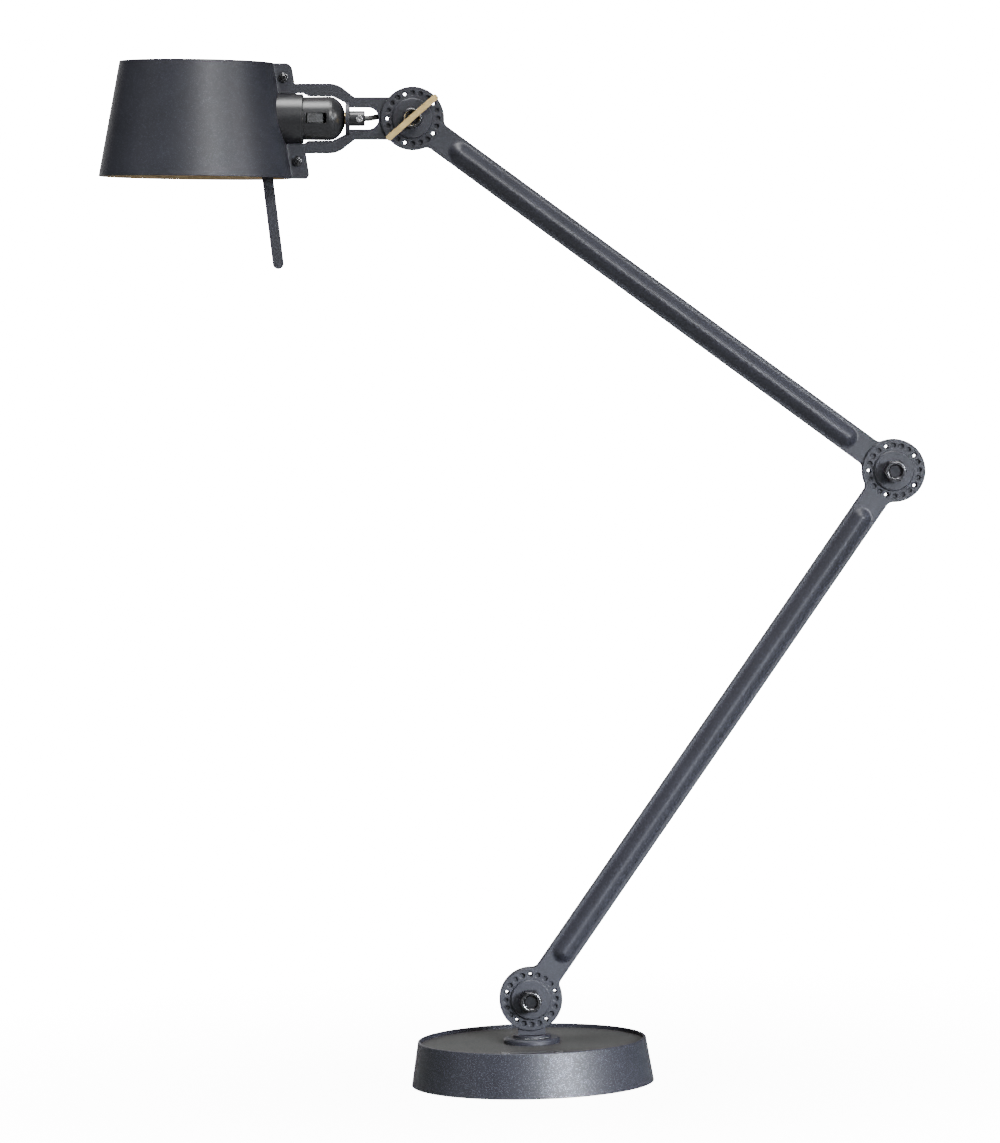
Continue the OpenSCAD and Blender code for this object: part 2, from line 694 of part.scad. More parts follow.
module shade() color(charcoal) on_head() {
    r0 = shade_d / 2;
    r1 = shade_top_d / 2;
    difference() {
        union() {
            in_shade() rotate_extrude($fn = 180)
                polygon([[r0 - shade_t, 0], [r0 - 0.2, 0], [r0, 0.3], [r1, shade_h - 0.3],
                         [r1 - 0.2, shade_h], [r1 - shade_t, shade_h]]);
            for (side = [-1, 1]) scale([1, side, 1])
                y_plate(plate_t / 2 + run, plate_t / 2 + run + shade_t) difference() {
                    flange_outline(flange_w, 0);
                    for (p = flange_bolts) translate(p) circle(2.1, $fn = 32);
                }
        }
        // the lampholder's skirt passes through the wall
        translate([skirt_x0 + 20, 0, 0]) rotate([0, -90, 0])
            cylinder(r = skirt_d / 2 + 0.3, h = 60, $fn = 96);
        // gap between the two ends of the rolled sheet
        translate([seam_x(0) - 20, -plate_t / 2 - run, -70]) cube([60, plate_t + 2 * run, 140]);
        // nothing of the flanges inside the cone
        in_shade() rotate_extrude($fn = 180)
            polygon([[0, 2], [r0 - shade_t - 0.35, 2], [r1 - shade_t, shade_h + 1], [0, shade_h + 1]]);
    }
}

top_sink = 2.5;
module shade_top() color(charcoal) on_head() in_shade() translate([0, 0, shade_h - top_sink - 1])
    cylinder(r = shade_top_d / 2 - shade_t - 0.05, h = 1, $fn = 180);

flange_face = plate_t / 2 + run + shade_t;
module shade_bolts() color(steel) on_head()
    for (p = flange_bolts) translate([p[0], 0, p[1]]) {
        y_cyl(2, -flange_face - 5.2, flange_face + 0.1);
        y_hex(7, flange_face, flange_face + 2.8);
    }
module shade_nuts() color(steel) on_head()
    for (p = flange_bolts) translate([p[0], 0, p[1]]) difference() {
        rotate([0, 25, 0]) y_hex(7, -flange_face - 3.4, -flange_face);
        y_cyl(2.02, -20, 0);
    }

handle_t = 2.5;
module aim_handle() color(charcoal) on_head() difference() {
    y_plate(handle_y0, handle_y0 + handle_t) {
        length = (handle_end_z - handle_tip_z) / cos(handle_lean);
        for (z = [handle_end_z, handle_tip_z])
            translate([handle_x(z), z]) circle(handle_w / 2, $fn = 48);
        translate([handle_x(handle_end_z), handle_end_z]) rotate(handle_lean)
            translate([-handle_w / 2, -length]) square([handle_w, length]);
    }
    for (z = handle_rivet_z) translate([handle_x(z), 0, z]) y_cyl(handle_rivet_bore, 0, 8);
}

module handle_rivets() color(steel) on_head()
    for (z = handle_rivet_z) translate([handle_x(z), 0, z]) {
        y_cyl(handle_rivet_bore - run, -plate_t / 2 - 0.5, handle_y0 + handle_t + 0.5);
        y_cyl(2.8, -plate_t / 2 - 1.1, -plate_t / 2);
        y_cyl(2.8, handle_y0 + handle_t, handle_y0 + handle_t + 1.1);
    }

// Solid of revolution about the lampholder's axis, its outline given as [x, radius]
module x_turn(points) {
    rotate([0, 90, 0]) rotate_extrude($fn = 96) polygon([for (p = points) [p[1], p[0]]]);
}
module x_cyl(r, x0, x1) { translate([x0, 0, 0]) rotate([0, 90, 0]) cylinder(r = r, h = x1 - x0); }

module holder_bracket() color(charcoal) on_head() difference() {
    x_cyl(13.5, bracket_x, bracket_x + bracket_t);
    x_cyl(bolt_r + run, bracket_x - 1, bracket_x + bracket_t + 1);
    for (side = [-1, 1])
        translate([bracket_x - 1, -plate_t / 2 - run, side > 0 ? slot_h / 2 - 0.1 : -20])
            cube([bracket_t + 2, plate_t + 2 * run, 20 - slot_h / 2 + 0.1]);
}

module holder_skirt() color(soft_black) on_head() difference() {
    r = skirt_d / 2;
    x_turn([[skirt_x1 + 1, r - 0.6], [skirt_x1 + 2, r], [skirt_x0 - 0.5, r], [skirt_x0, r - 0.5],
            [skirt_x0, r - 2.1], [skirt_x1 + 2, r - 2.1], [skirt_x1 + 2, 14.8], [skirt_x1, 14.8],
            [skirt_x1, r - 1.2]]);
}

// Radius of the cap's dome at x
function dome_r(x) = let (u = (x - cap_dome_x) / (cap_x1 - cap_dome_x + 0.3))
    cap_d / 2 * pow(1 - pow(u, 1.9), 1 / 1.9);
dome_steps = 10;
module holder_cap() color(soft_black) on_head() difference() {
    x_turn(concat(
        [[cap_x0 - 2.6, 0], [cap_x0 - 2.6, cap_d / 2 - 0.3], [cap_dome_x, cap_d / 2]],
        [for (k = [1 : dome_steps]) let (x = cap_dome_x + (cap_x1 - cap_dome_x) * sin(90 * k / dome_steps))
            [x, dome_r(x)]],
        [[cap_x1, 0]]));
    x_turn([[cap_x0 - 4, 0], [cap_x0 - 4, cap_d / 2 - 2.2], [cap_dome_x, cap_d / 2 - 2.2],
            [-61.5, 13], [-57.4, 7], [-57.4, 0]]);
    x_cyl(bolt_r + run, -60, -50);
    translate([switch_x - switch_l / 2, -cap_d, -switch_h / 2]) cube([switch_l, cap_d - 10, switch_h]);
}

// Insert that carries the brass screw shell and the contacts
core_x = -99;              // front face of the insert
shell_r = 14.4;
shell_l = 22;
module socket_core() color([0.85, 0.84, 0.8]) on_head() difference() {
    x_cyl(17.4, core_x, cap_x0 - 3);
    for (z = [-8, 8]) translate([0, 0, z]) x_cyl(2, -110, -80);
}

module socket_contacts() color(brass) on_head() {
    difference() {
        x_cyl(shell_r, core_x - shell_l, core_x - 0.1);
        x_cyl(shell_r - 0.5, core_x - shell_l - 1, core_x + 1);
    }
    translate([core_x - 2.2, -2, -4]) cube([2.1, 4, 8]);
}

module holder_nipple() color(brass) on_head() difference() {
    x_cyl(bolt_r, -59, -47);
    x_cyl(lead_r + 0.2, -60, -46);
}

grip_screw = [-43.2, 0, -0.6];
grip_screw_seat = -5.4;
module cord_grip() color(soft_black) on_head() difference() {
    x_turn([[bracket_x + bracket_t, 0], [bracket_x + bracket_t, grip_d / 2], [grip_x1 - 0.6, grip_d / 2],
            [grip_x1, grip_d / 2 - 0.6], [grip_x1, 0]]);
    x_cyl(lead_r + 0.15, -60, -30);
    x_cyl(bolt_r + run, -60, -46.9);
    translate(grip_screw) y_cyl(1.55, -10, 0);
    translate(grip_screw) y_cyl(2.9, -10, grip_screw_seat);
}

module cord_grip_screw() color(steel) on_head() translate(grip_screw) difference() {
    union() {
        y_cyl(1.5, -6, -lead_r);
        y_cyl(2.75, -7, grip_screw_seat);
    }
    rotate([0, 28, 0]) translate([-4, -8, -0.4]) cube([8, 1.7, 0.8]);
}

// Route of the lead from inside the cap, through the cord grip and the slot, to the turn
head_route = [[-62, 0, 0], [-56, 0, 0], [-50, 0, 0], [-44, 0, 0], [-39, 0, 0], [-36.5, 0.3, 0.1],
              [-34, 1.3, 0.4], [-31.5, 3.2, 0.9], [-29, 5.2, 1.6], [-26.5, 6.5, 2.4], [-23, 7, 3.6],
              [-19, 6.9, 5.2], [-14, 6.8, 7.3], [-9, 6.8, 9.2], [-4, 6.8, 10]];
module head_lead() color(soft_black) on_head() difference() {
    tube(head_route, lead_r, tube_sides);
    y_cyl(ring_edge, -10, 20);
}

bulb_cap_r = 13.4;
bulb_cap_x0 = core_x - 2.4;
bulb_cap_x1 = -125;
module bulb_cap() color(steel) on_head()
    x_turn([[bulb_cap_x0, 0], [bulb_cap_x0, 4], [bulb_cap_x0 - 2.6, 8], [bulb_cap_x0 - 3.6, bulb_cap_r - 0.4],
            [bulb_cap_x1, bulb_cap_r - 0.4], [bulb_cap_x1, 0]]);

// Radius of the glass at x, from the neck to the end of the bulb
glass_x0 = bulb_cap_x1 - 0.1;
glass_x1 = -206;
function glass_r(x) = let (c = glass_x1 + bulb_d / 2, d = c - x)
    x < c + 12 ? sqrt(max(0, pow(bulb_d / 2, 2) - pow(x - c, 2)))
               : let (s = (x - c - 12) / (glass_x0 - c - 12), r12 = sqrt(pow(bulb_d / 2, 2) - 144))
                 bulb_cap_r + (r12 - bulb_cap_r) * (1 - s * s * (3 - 2 * s));
glass_steps = 28;
function glass_profile(t) = [for (k = [0 : glass_steps])
    let (a = 90 * k / glass_steps, x = glass_x1 + t + (glass_x0 - glass_x1 - t) * (1 - cos(a)))
    [x, max(0, glass_r(x - (k == 0 ? t : 0)) - t)]];
module bulb_glass() color([0.95, 0.95, 0.92]) on_head() difference() {
    x_turn(concat(glass_profile(0), [[glass_x0, 0]]));
    x_turn(concat(glass_profile(1.2), [[glass_x0 + 1, bulb_cap_r - 1.2], [glass_x0 + 1, 0]]));
}

rocker_y = -15.2;
rocker_gap = 0.3;          // between the rocker's ends and the cap
module switch_rocker() color(soft_black) on_head() translate([switch_x, rocker_y, 0]) {
    translate([0, 0, -switch_h / 2 + rocker_gap]) linear_extrude(switch_h - 2 * rocker_gap)
        polygon([[-7.6, -3], [-7.1, -3.3], [0, -2.1], [5.6, -0.2], [5.9, 0.4], [5.2, 3], [0, 4.2],
                 [-6.6, 3]]);
    // round boss at each end, on the rocker's axis
    translate([0, 0, -switch_h / 2 + run]) cylinder(r = 1.2, h = switch_h - 2 * run, $fn = 48);
}

base_shell();
base_top_plate();
base_ballast();
base_bottom_plate();
base_pad();
base_screws();
badge_plate();
badge_rivets();
cable_gland();
base_lead();
swivel_flange();
flange_screws();
knuckle();
thrust_washer();
swivel_washer();
swivel_nut();
knuckle_bush();
knuckle_lead();
lower_arm_front();
lower_arm_rear();
base_joint_bolt();
base_joint_nut();
elbow_bolt();
elbow_nut();
lower_arm_washers();
lower_friction_washers();
lower_arm_lead();
upper_arm_front();
upper_arm_rear();
elbow_bush();
upper_arm_lead();
head_joint_bolt();
head_joint_washer();
lead_spool();
upper_friction_washers();
clamp_nut();
clamp_bar();
head_plate();
shade();
shade_top();
shade_bolts();
shade_nuts();
aim_handle();
handle_rivets();
holder_bracket();
holder_skirt();
holder_cap();
socket_core();
socket_contacts();
holder_nipple();
cord_grip();
cord_grip_screw();
head_lead();
bulb_cap();
bulb_glass();
switch_rocker();
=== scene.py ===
import json
import math

import bmesh
import bpy
from mathutils import Matrix, Vector
from mathutils.geometry import delaunay_2d_cdt


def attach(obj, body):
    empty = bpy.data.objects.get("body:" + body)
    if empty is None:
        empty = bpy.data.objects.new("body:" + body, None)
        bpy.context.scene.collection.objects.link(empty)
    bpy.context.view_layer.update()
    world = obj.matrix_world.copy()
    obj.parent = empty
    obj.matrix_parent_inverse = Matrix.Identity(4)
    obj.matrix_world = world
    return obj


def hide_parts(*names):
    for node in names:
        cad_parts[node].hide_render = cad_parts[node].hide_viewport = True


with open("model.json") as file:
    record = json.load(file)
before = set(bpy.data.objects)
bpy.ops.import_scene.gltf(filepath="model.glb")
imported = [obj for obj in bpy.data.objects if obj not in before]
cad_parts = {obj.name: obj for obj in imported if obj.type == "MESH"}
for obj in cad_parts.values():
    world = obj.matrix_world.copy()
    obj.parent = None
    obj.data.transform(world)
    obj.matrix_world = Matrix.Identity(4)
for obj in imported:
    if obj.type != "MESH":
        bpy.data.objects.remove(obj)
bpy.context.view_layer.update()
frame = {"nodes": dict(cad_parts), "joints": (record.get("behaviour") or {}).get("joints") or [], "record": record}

NODES = frame["nodes"]
JOINTS = {joint["name"]: joint for joint in frame["joints"]}
P_BASE = Vector(JOINTS["base_tilt"]["pos_m"])
P_ELBOW = Vector(JOINTS["elbow"]["pos_m"])
P_HEAD = Vector(JOINTS["head_tilt"]["pos_m"])
HEAD_LEAN = math.radians(1.4)


# ---------------------------------------------------------------- camera

CAMERA_AT = (-0.0164, -4.46, 0.6404)
CAMERA_PITCH = math.radians(-2.794)
CAMERA_ROLL = math.radians(-1.4686)
SENSOR_MM = 36.0
LENS_MM = 171.37


def make_camera():
    data = bpy.data.cameras.new("camera")
    data.sensor_width = SENSOR_MM
    data.lens = LENS_MM
    data.clip_start = 0.1
    data.clip_end = 200.0
    camera = bpy.data.objects.new("camera", data)
    bpy.context.scene.collection.objects.link(camera)
    camera.matrix_world = (
        Matrix.Translation(CAMERA_AT)
        @ Matrix.Rotation(math.pi / 2 + CAMERA_PITCH, 4, "X")
        @ Matrix.Rotation(CAMERA_ROLL, 4, "Z")
    )
    bpy.context.scene.camera = camera


make_camera()


# ---------------------------------------------------------------- node helpers

def new_material(name):
    material = bpy.data.materials.new(name)
    material.use_nodes = True
    tree = material.node_tree
    shader = tree.nodes["Principled BSDF"]
    return material, tree, shader


def coordinates(tree):
    return tree.nodes.new("ShaderNodeTexCoord").outputs["Object"]


def noise(tree, coords, scale, detail=2.0, rough=0.5):
    node = tree.nodes.new("ShaderNodeTexNoise")
    tree.links.new(coords, node.inputs["Vector"])
    node.inputs["Scale"].default_value = scale
    node.inputs["Detail"].default_value = detail
    node.inputs["Roughness"].default_value = rough
    return node.outputs["Fac"]


def remap(tree, value, low, high, out_low, out_high):
    node = tree.nodes.new("ShaderNodeMapRange")
    tree.links.new(value, node.inputs["Value"])
    node.inputs["From Min"].default_value = low
    node.inputs["From Max"].default_value = high
    node.inputs["To Min"].default_value = out_low
    node.inputs["To Max"].default_value = out_high
    return node.outputs["Result"]


def math_node(tree, operation, a, b):
    node = tree.nodes.new("ShaderNodeMath")
    node.operation = operation
    for socket, value in zip(node.inputs, (a, b)):
        if isinstance(value, (int, float)):
            socket.default_value = value
        else:
            tree.links.new(value, socket)
    return node.outputs[0]


def mix_colour(tree, fac, a, b):
    node = tree.nodes.new("ShaderNodeMix")
    node.data_type = "RGBA"
    tree.links.new(fac, node.inputs["Factor"])
    for socket, value in ((node.inputs[6], a), (node.inputs[7], b)):
        if isinstance(value, tuple):
            socket.default_value = (*value, 1.0)
        else:
            tree.links.new(value, socket)
    return node.outputs[2]


def bump(tree, shader, height, distance, strength, under=None):
    node = tree.nodes.new("ShaderNodeBump")
    node.inputs["Distance"].default_value = distance
    node.inputs["Strength"].default_value = strength
    tree.links.new(height, node.inputs["Height"])
    if under is not None:
        tree.links.new(under, node.inputs["Normal"])
    tree.links.new(node.outputs["Normal"], shader.inputs["Normal"])


def soft_edges(tree, radius):
    """Normal rounded over every edge, and a mask that is 1 on edges."""
    bevel = tree.nodes.new("ShaderNodeBevel")
    bevel.samples = 4
    bevel.inputs["Radius"].default_value = radius
    geometry = tree.nodes.new("ShaderNodeNewGeometry")
    dot = tree.nodes.new("ShaderNodeVectorMath")
    dot.operation = "DOT_PRODUCT"
    tree.links.new(bevel.outputs[0], dot.inputs[0])
    tree.links.new(geometry.outputs["Normal"], dot.inputs[1])
    mask = remap(tree, dot.outputs["Value"], 0.995, 0.86, 0.0, 1.0)
    return bevel.outputs[0], mask


# ---------------------------------------------------------------- materials

FLECK_SCALE = 2400.0
FLECK_CORE = 0.42             # share of a cell that the fleck fills
GRAIN_MM = 0.55
GRAIN_DEPTH = 0.00006
COAT_EDGE = 0.0006
WORN_ROUGH = 0.22
MOULDED_EDGE = 0.0004
MOULDED_DEPTH = 0.00005
NOISE_LOW, NOISE_HIGH = 0.3, 0.7


def powder_coat(name, dark, light, fleck=(0.07, 0.075, 0.10), fleck_share=0.12, rough=(0.46, 0.56),
                fleck_metal=0.25, grain_strength=0.16):
    """Textured powder coat: fine orange-peel grain, faint mottling and small bright flecks."""
    material, tree, shader = new_material(name)
    coords = coordinates(tree)
    grain_scale = 1000.0 / GRAIN_MM
    grain = noise(tree, coords, grain_scale, 3.0, 0.6)
    mottle = noise(tree, coords, 28.0, 3.0, 0.55)
    tone = math_node(tree, "ADD", math_node(tree, "MULTIPLY", grain, 0.6),
                     math_node(tree, "MULTIPLY", mottle, 0.5))
    body = mix_colour(tree, remap(tree, tone, 0.35, 0.75, 0.0, 1.0), dark, light)
    cells = tree.nodes.new("ShaderNodeTexVoronoi")
    cells.inputs["Scale"].default_value = FLECK_SCALE
    tree.links.new(coords, cells.inputs["Vector"])
    split = tree.nodes.new("ShaderNodeSeparateColor")
    tree.links.new(cells.outputs["Color"], split.inputs[0])
    chosen = math_node(tree, "GREATER_THAN", split.outputs[0], 1.0 - fleck_share)
    near = math_node(tree, "LESS_THAN", cells.outputs["Distance"], FLECK_CORE)
    flecks = math_node(tree, "MULTIPLY", chosen, near)
    tree.links.new(mix_colour(tree, flecks, body, fleck), shader.inputs["Base Color"])
    roughness = remap(tree, noise(tree, coords, grain_scale * 0.5, 2.0), NOISE_LOW, NOISE_HIGH, *rough)
    tree.links.new(math_node(tree, "SUBTRACT", roughness, math_node(tree, "MULTIPLY", flecks, 0.12)),
                   shader.inputs["Roughness"])
    tree.links.new(math_node(tree, "MULTIPLY", flecks, fleck_metal), shader.inputs["Metallic"])
    normal, _ = soft_edges(tree, COAT_EDGE)
    bump(tree, shader, grain, GRAIN_DEPTH, grain_strength, normal)
    shader.inputs["Specular IOR Level"].default_value = 0.5
    return material


def rubbed_and_highlit_metal(name, body, rubbed_and_highlight, rough=(0.28, 0.42), edge=0.0005, grain=(1.0, 1.0, 1.0),
               grain_scale=900.0, grain_strength=0.15):
    """Metal with a dark or plain finish, bright along every edge: partly rubbed wear, partly a painted edge
    highlight.
    """
    material, tree, shader = new_material(name)
    coords = coordinates(tree)
    mapping = tree.nodes.new("ShaderNodeMapping")
    mapping.inputs["Scale"].default_value = grain
    tree.links.new(coords, mapping.inputs["Vector"])
    fine = noise(tree, mapping.outputs[0], grain_scale, 3.0, 0.6)
    broad = noise(tree, coords, 120.0, 3.0, 0.6)
    normal, mask = soft_edges(tree, edge)
    # edge mask for the bright edge colour: partly rubbed wear, partly a painted highlight on the edges
    wear_and_highlight = math_node(tree, "MULTIPLY", mask, remap(tree, broad, 0.3, 0.6, 0.45, 1.0))
    shade_of = mix_colour(tree, remap(tree, broad, NOISE_LOW, NOISE_HIGH, 0.0, 1.0), body,
                          tuple(min(1.0, channel * 1.25) for channel in body))
    tree.links.new(mix_colour(tree, wear_and_highlight, shade_of, rubbed_and_highlight), shader.inputs["Base Color"])
    plain_rough = remap(tree, fine, NOISE_LOW, NOISE_HIGH, *rough)
    tree.links.new(math_node(tree, "ADD", plain_rough,
                             math_node(tree, "MULTIPLY", wear_and_highlight, WORN_ROUGH - rough[1])),
                   shader.inputs["Roughness"])
    shader.inputs["Metallic"].default_value = 1.0
    bump(tree, shader, fine, GRAIN_DEPTH, grain_strength, normal)
    return material


def moulded(name, body, light, rough, scale=700.0, strength=0.08):
    """Moulded plastic, rubber or glaze: nearly even colour, a faint skin texture."""
    material, tree, shader = new_material(name)
    coords = coordinates(tree)
    fine = noise(tree, coords, scale, 3.0, 0.6)
    broad = noise(tree, coords, 45.0, 2.0, 0.5)
    tree.links.new(mix_colour(tree, remap(tree, broad, NOISE_LOW, NOISE_HIGH, 0.0, 1.0), body, light),
                   shader.inputs["Base Color"])
    tree.links.new(remap(tree, fine, NOISE_LOW, NOISE_HIGH, *rough), shader.inputs["Roughness"])
    normal, _ = soft_edges(tree, MOULDED_EDGE)
    bump(tree, shader, fine, MOULDED_DEPTH, strength, normal)
    return material


def cast_iron():
    material, tree, shader = new_material("cast_iron")
    coords = coordinates(tree)
    coarse = noise(tree, coords, 350.0, 5.0, 0.65)
    tree.links.new(mix_colour(tree, remap(tree, coarse, NOISE_LOW, NOISE_HIGH, 0.0, 1.0),
                              (0.05, 0.048, 0.046), (0.13, 0.125, 0.12)), shader.inputs["Base Color"])
    tree.links.new(remap(tree, coarse, NOISE_LOW, NOISE_HIGH, 0.6, 0.8), shader.inputs["Roughness"])
    shader.inputs["Metallic"].default_value = 0.7
    bump(tree, shader, coarse, 0.0004, 0.6)
    return material


def opal_glass():
    material, tree, shader = new_material("opal_glass")
    coords = coordinates(tree)
    frost = noise(tree, coords, 900.0, 3.0, 0.6)
    tree.links.new(mix_colour(tree, remap(tree, frost, NOISE_LOW, NOISE_HIGH, 0.0, 1.0),
                              (0.86, 0.85, 0.82), (0.93, 0.92, 0.89)), shader.inputs["Base Color"])
    tree.links.new(remap(tree, frost, NOISE_LOW, NOISE_HIGH, 0.22, 0.34), shader.inputs["Roughness"])
    shader.inputs["Subsurface Weight"].default_value = 0.4
    shader.inputs["Subsurface Radius"].default_value = (0.01, 0.01, 0.01)
    bump(tree, shader, frost, 0.00003, 0.1)
    return material


charcoal = powder_coat("charcoal_powder", (0.0095, 0.0098, 0.0140), (0.0200, 0.0207, 0.0295))
base_charcoal = powder_coat("charcoal_base", (0.0095, 0.0098, 0.0140), (0.0200, 0.0207, 0.0295),
                            fleck=(0.22, 0.235, 0.30), fleck_share=0.16, fleck_metal=0.8)
top_matte = powder_coat("top_plate_matte", (0.0165, 0.016, 0.0155), (0.029, 0.028, 0.0275),
                        fleck=(0.08, 0.075, 0.07), fleck_share=0.03, rough=(0.6, 0.72),
                        grain_strength=0.3)
lining_gold = powder_coat("lining_gold", (0.42, 0.31, 0.17), (0.52, 0.39, 0.22),
                          fleck=(0.7, 0.58, 0.38), fleck_share=0.08, rough=(0.34, 0.46))
blackened = rubbed_and_highlit_metal("blackened_steel", (0.035, 0.035, 0.038), (0.80, 0.80, 0.82),
                       edge=0.0008)
bright = rubbed_and_highlit_metal("bright_steel", (0.50, 0.50, 0.51), (0.72, 0.72, 0.73), rough=(0.24, 0.36))
brass_satin = rubbed_and_highlit_metal("brass_bar", (0.62, 0.45, 0.19), (0.98, 0.86, 0.60), rough=(0.36, 0.5),
                         grain=(1.0, 1.0, 14.0), grain_scale=260.0, grain_strength=0.2)
badge_alloy = rubbed_and_highlit_metal("badge_alloy", (0.17, 0.17, 0.175), (0.75, 0.75, 0.75), rough=(0.38, 0.48))
socket_brass = rubbed_and_highlit_metal("socket_brass", (0.70, 0.52, 0.24), (0.86, 0.70, 0.40))
cap_metal = rubbed_and_highlit_metal("bulb_cap_metal", (0.78, 0.78, 0.79), (0.9, 0.9, 0.9), rough=(0.2, 0.3))
black_plastic = moulded("black_plastic", (0.013, 0.013, 0.014), (0.018, 0.018, 0.020),
                        rough=(0.30, 0.36), strength=0.03)
rocker_plastic = moulded("rocker_plastic", (0.010, 0.010, 0.011), (0.014, 0.014, 0.015),
                         rough=(0.5, 0.6))
sheath = moulded("lead_sheath", (0.012, 0.012, 0.012), (0.02, 0.02, 0.02), rough=(0.36, 0.46))
rubber = moulded("pad_rubber", (0.018, 0.018, 0.018), (0.03, 0.03, 0.03), rough=(0.7, 0.85),
                 scale=1200.0, strength=0.3)
nylon = moulded("nylon", (0.70, 0.70, 0.66), (0.78, 0.78, 0.75), rough=(0.4, 0.5))
insulator = moulded("socket_insulator", (0.68, 0.66, 0.60), (0.78, 0.76, 0.71), rough=(0.16, 0.24))
iron = cast_iron()
opal = opal_glass()

MATERIAL_OF_SLOT = {
    "charcoal_powder": charcoal, "top_plate_matte": top_matte, "ballast_iron": iron,
    "pad_rubber": rubber, "bright_steel": bright, "blackened_steel": blackened, "nylon": nylon,
    "black_plastic": black_plastic, "lead_sheath": sheath, "brass_bar": brass_satin,
    "socket_insulator": insulator, "socket_brass": socket_brass, "bulb_cap_metal": cap_metal,
    "bulb_glass": opal, "badge_alloy": badge_alloy,
}
for row in frame["record"]["subparts"]:
    node = NODES[row["node"]]
    node.data.materials.clear()
    node.data.materials.append(MATERIAL_OF_SLOT[row["material_slot"]])
NODES["switch_rocker"].data.materials[0] = rocker_plastic
NODES["base_shell"].data.materials[0] = base_charcoal


# ---------------------------------------------------------------- mesh helpers

MM = 0.001


def link_piece(name, mesh, materials, body, slot, *replaced):
    """Puts a finished mesh in the scene and says which body and nodes it stands for."""
    piece = bpy.data.objects.new(name, mesh)
    bpy.context.scene.collection.objects.link(piece)
    for material in materials:
        mesh.materials.append(material)
    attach(piece, body)
    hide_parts(*replaced)


def smooth_by_angle(mesh, degrees):
    """Smooth faces with sharp edges where two faces meet at more than this angle."""
    limit = math.radians(degrees)
    work = bmesh.new()
    work.from_mesh(mesh)
    for face in work.faces:
        face.smooth = True
    for edge in work.edges:
        edge.smooth = len(edge.link_faces) != 2 or edge.calc_face_angle() < limit
    work.to_mesh(mesh)
    work.free()


def arc(centre, radius, start, end, steps):
    """Points on an arc from start to end degrees, both ends included."""
    return [
        (centre[0] + radius * math.cos(math.radians(start + (end - start) * k / steps)),
         centre[1] + radius * math.sin(math.radians(start + (end - start) * k / steps)))
        for k in range(steps + 1)
    ]


def line(start, end, step):
    """Points from start to end, both left out, about a step apart."""
    count = max(1, round(math.dist(start, end) / step))
    return [
        (start[0] + (end[0] - start[0]) * k / count, start[1] + (end[1] - start[1]) * k / count)
        for k in range(1, count)
    ]


def moved_in(loop, distance):
    """A closed loop, counter-clockwise, moved to its left by a distance."""
    out = []
    for k, (x, z) in enumerate(loop):
        (xa, za), (xb, zb) = loop[k - 1], loop[(k + 1) % len(loop)]
        dx, dz = xb - xa, zb - za
        size = math.hypot(dx, dz) or 1.0
        out.append((x - dz / size * distance, z + dx / size * distance))
    return out


def arm_frame(start, end):
    """Matrix that puts local X along the arm, Y across the lamp and Z across the strip."""
    along = (end - start).normalized()
    across = Vector((0.0, 1.0, 0.0))
    up = along.cross(across)
    return Matrix.Translation(start) @ Matrix((along, across, up)).transposed().to_4x4()


# ---------------------------------------------------------------- arms

DISC_R = 26 * MM
STRIP_HALF = 11.5 * MM
NECK_R = 6 * MM
SHEET = 1.5 * MM
EDGE = 0.4 * MM
RIDGE_HALF = 8.7 * MM
RIDGE_HEIGHT = 6.6 * MM
RIDGE_FROM = 38.7 * MM
RIDGE_ROWS = 21
HOLE_RING = 20.7 * MM
INDEX_HOLES = 20
INDEX_HOLE_R = 1.9 * MM
CATCH_HOLES = 5
CATCH_PHASE = 36
CATCH_HOLE_R = 1.2 * MM
BOLT_HOLE_R = 5.05 * MM
WALL_FROM = 41 * MM
SEAM = 0.05 * MM


def arm_loop(length):
    """Outline of an arm, counter-clockwise: two discs, a strip and filleted necks."""
    reach = math.sqrt((DISC_R + NECK_R) ** 2 - (STRIP_HALF + NECK_R) ** 2)
    turn = math.degrees(math.atan2(STRIP_HALF + NECK_R, reach))
    side = STRIP_HALF + NECK_R
    loop = arc((0, 0), DISC_R, turn, 360 - turn, 72)
    loop += arc((reach, -side), NECK_R, 180 - turn, 90, 8)[1:]
    loop += line((reach, -STRIP_HALF), (length - reach, -STRIP_HALF), 4 * MM)
    loop += arc((length - reach, -side), NECK_R, 90, turn, 8)
    loop += arc((length, 0), DISC_R, turn - 180, 180 - turn, 72)[1:]
    loop += arc((length - reach, side), NECK_R, -turn, -90, 8)[1:]
    loop += line((length - reach, STRIP_HALF), (reach, STRIP_HALF), 4 * MM)
    loop += arc((reach, side), NECK_R, -90, turn - 180, 8)[:-1]
    return loop


def hole_loops(at, count, phase):
    """Clockwise loops of one disc's holes, the bolt's first."""
    radius = CATCH_HOLE_R if count == CATCH_HOLES else INDEX_HOLE_R
    loops = [arc((at, 0), BOLT_HOLE_R, 360, 0, 36)[:-1]]
    for k in range(count):
        a = math.radians(phase + 360 * k / count)
        centre = (at + HOLE_RING * math.cos(a), HOLE_RING * math.sin(a))
        loops.append(arc(centre, radius, 360, 0, 16)[:-1])
    return loops


def ridge(x, z, length):
    """Height of the pressed ridge over the flat at a point of the strip."""
    first, last = RIDGE_FROM + RIDGE_HALF, length - RIDGE_FROM - RIDGE_HALF
    off = math.hypot(x - min(max(x, first), last), z) / RIDGE_HALF
    return RIDGE_HEIGHT * (1 - off * off) ** 1.5 if off < 1 else 0.0


def ridge_columns(length):
    """Places along an arm of the rows of points across its ridge, close together at both ends."""
    near, fine, coarse = RIDGE_FROM - 2 * MM, 1.0 * MM, 3.0 * MM
    ends = [near + k * fine for k in range(round((RIDGE_HALF + 5 * MM) / fine) + 1)]
    middle = [x for x, _ in line((ends[-1], 0), (length - ends[-1], 0), coarse)]
    return ends + middle + [length - x for x in reversed(ends)]


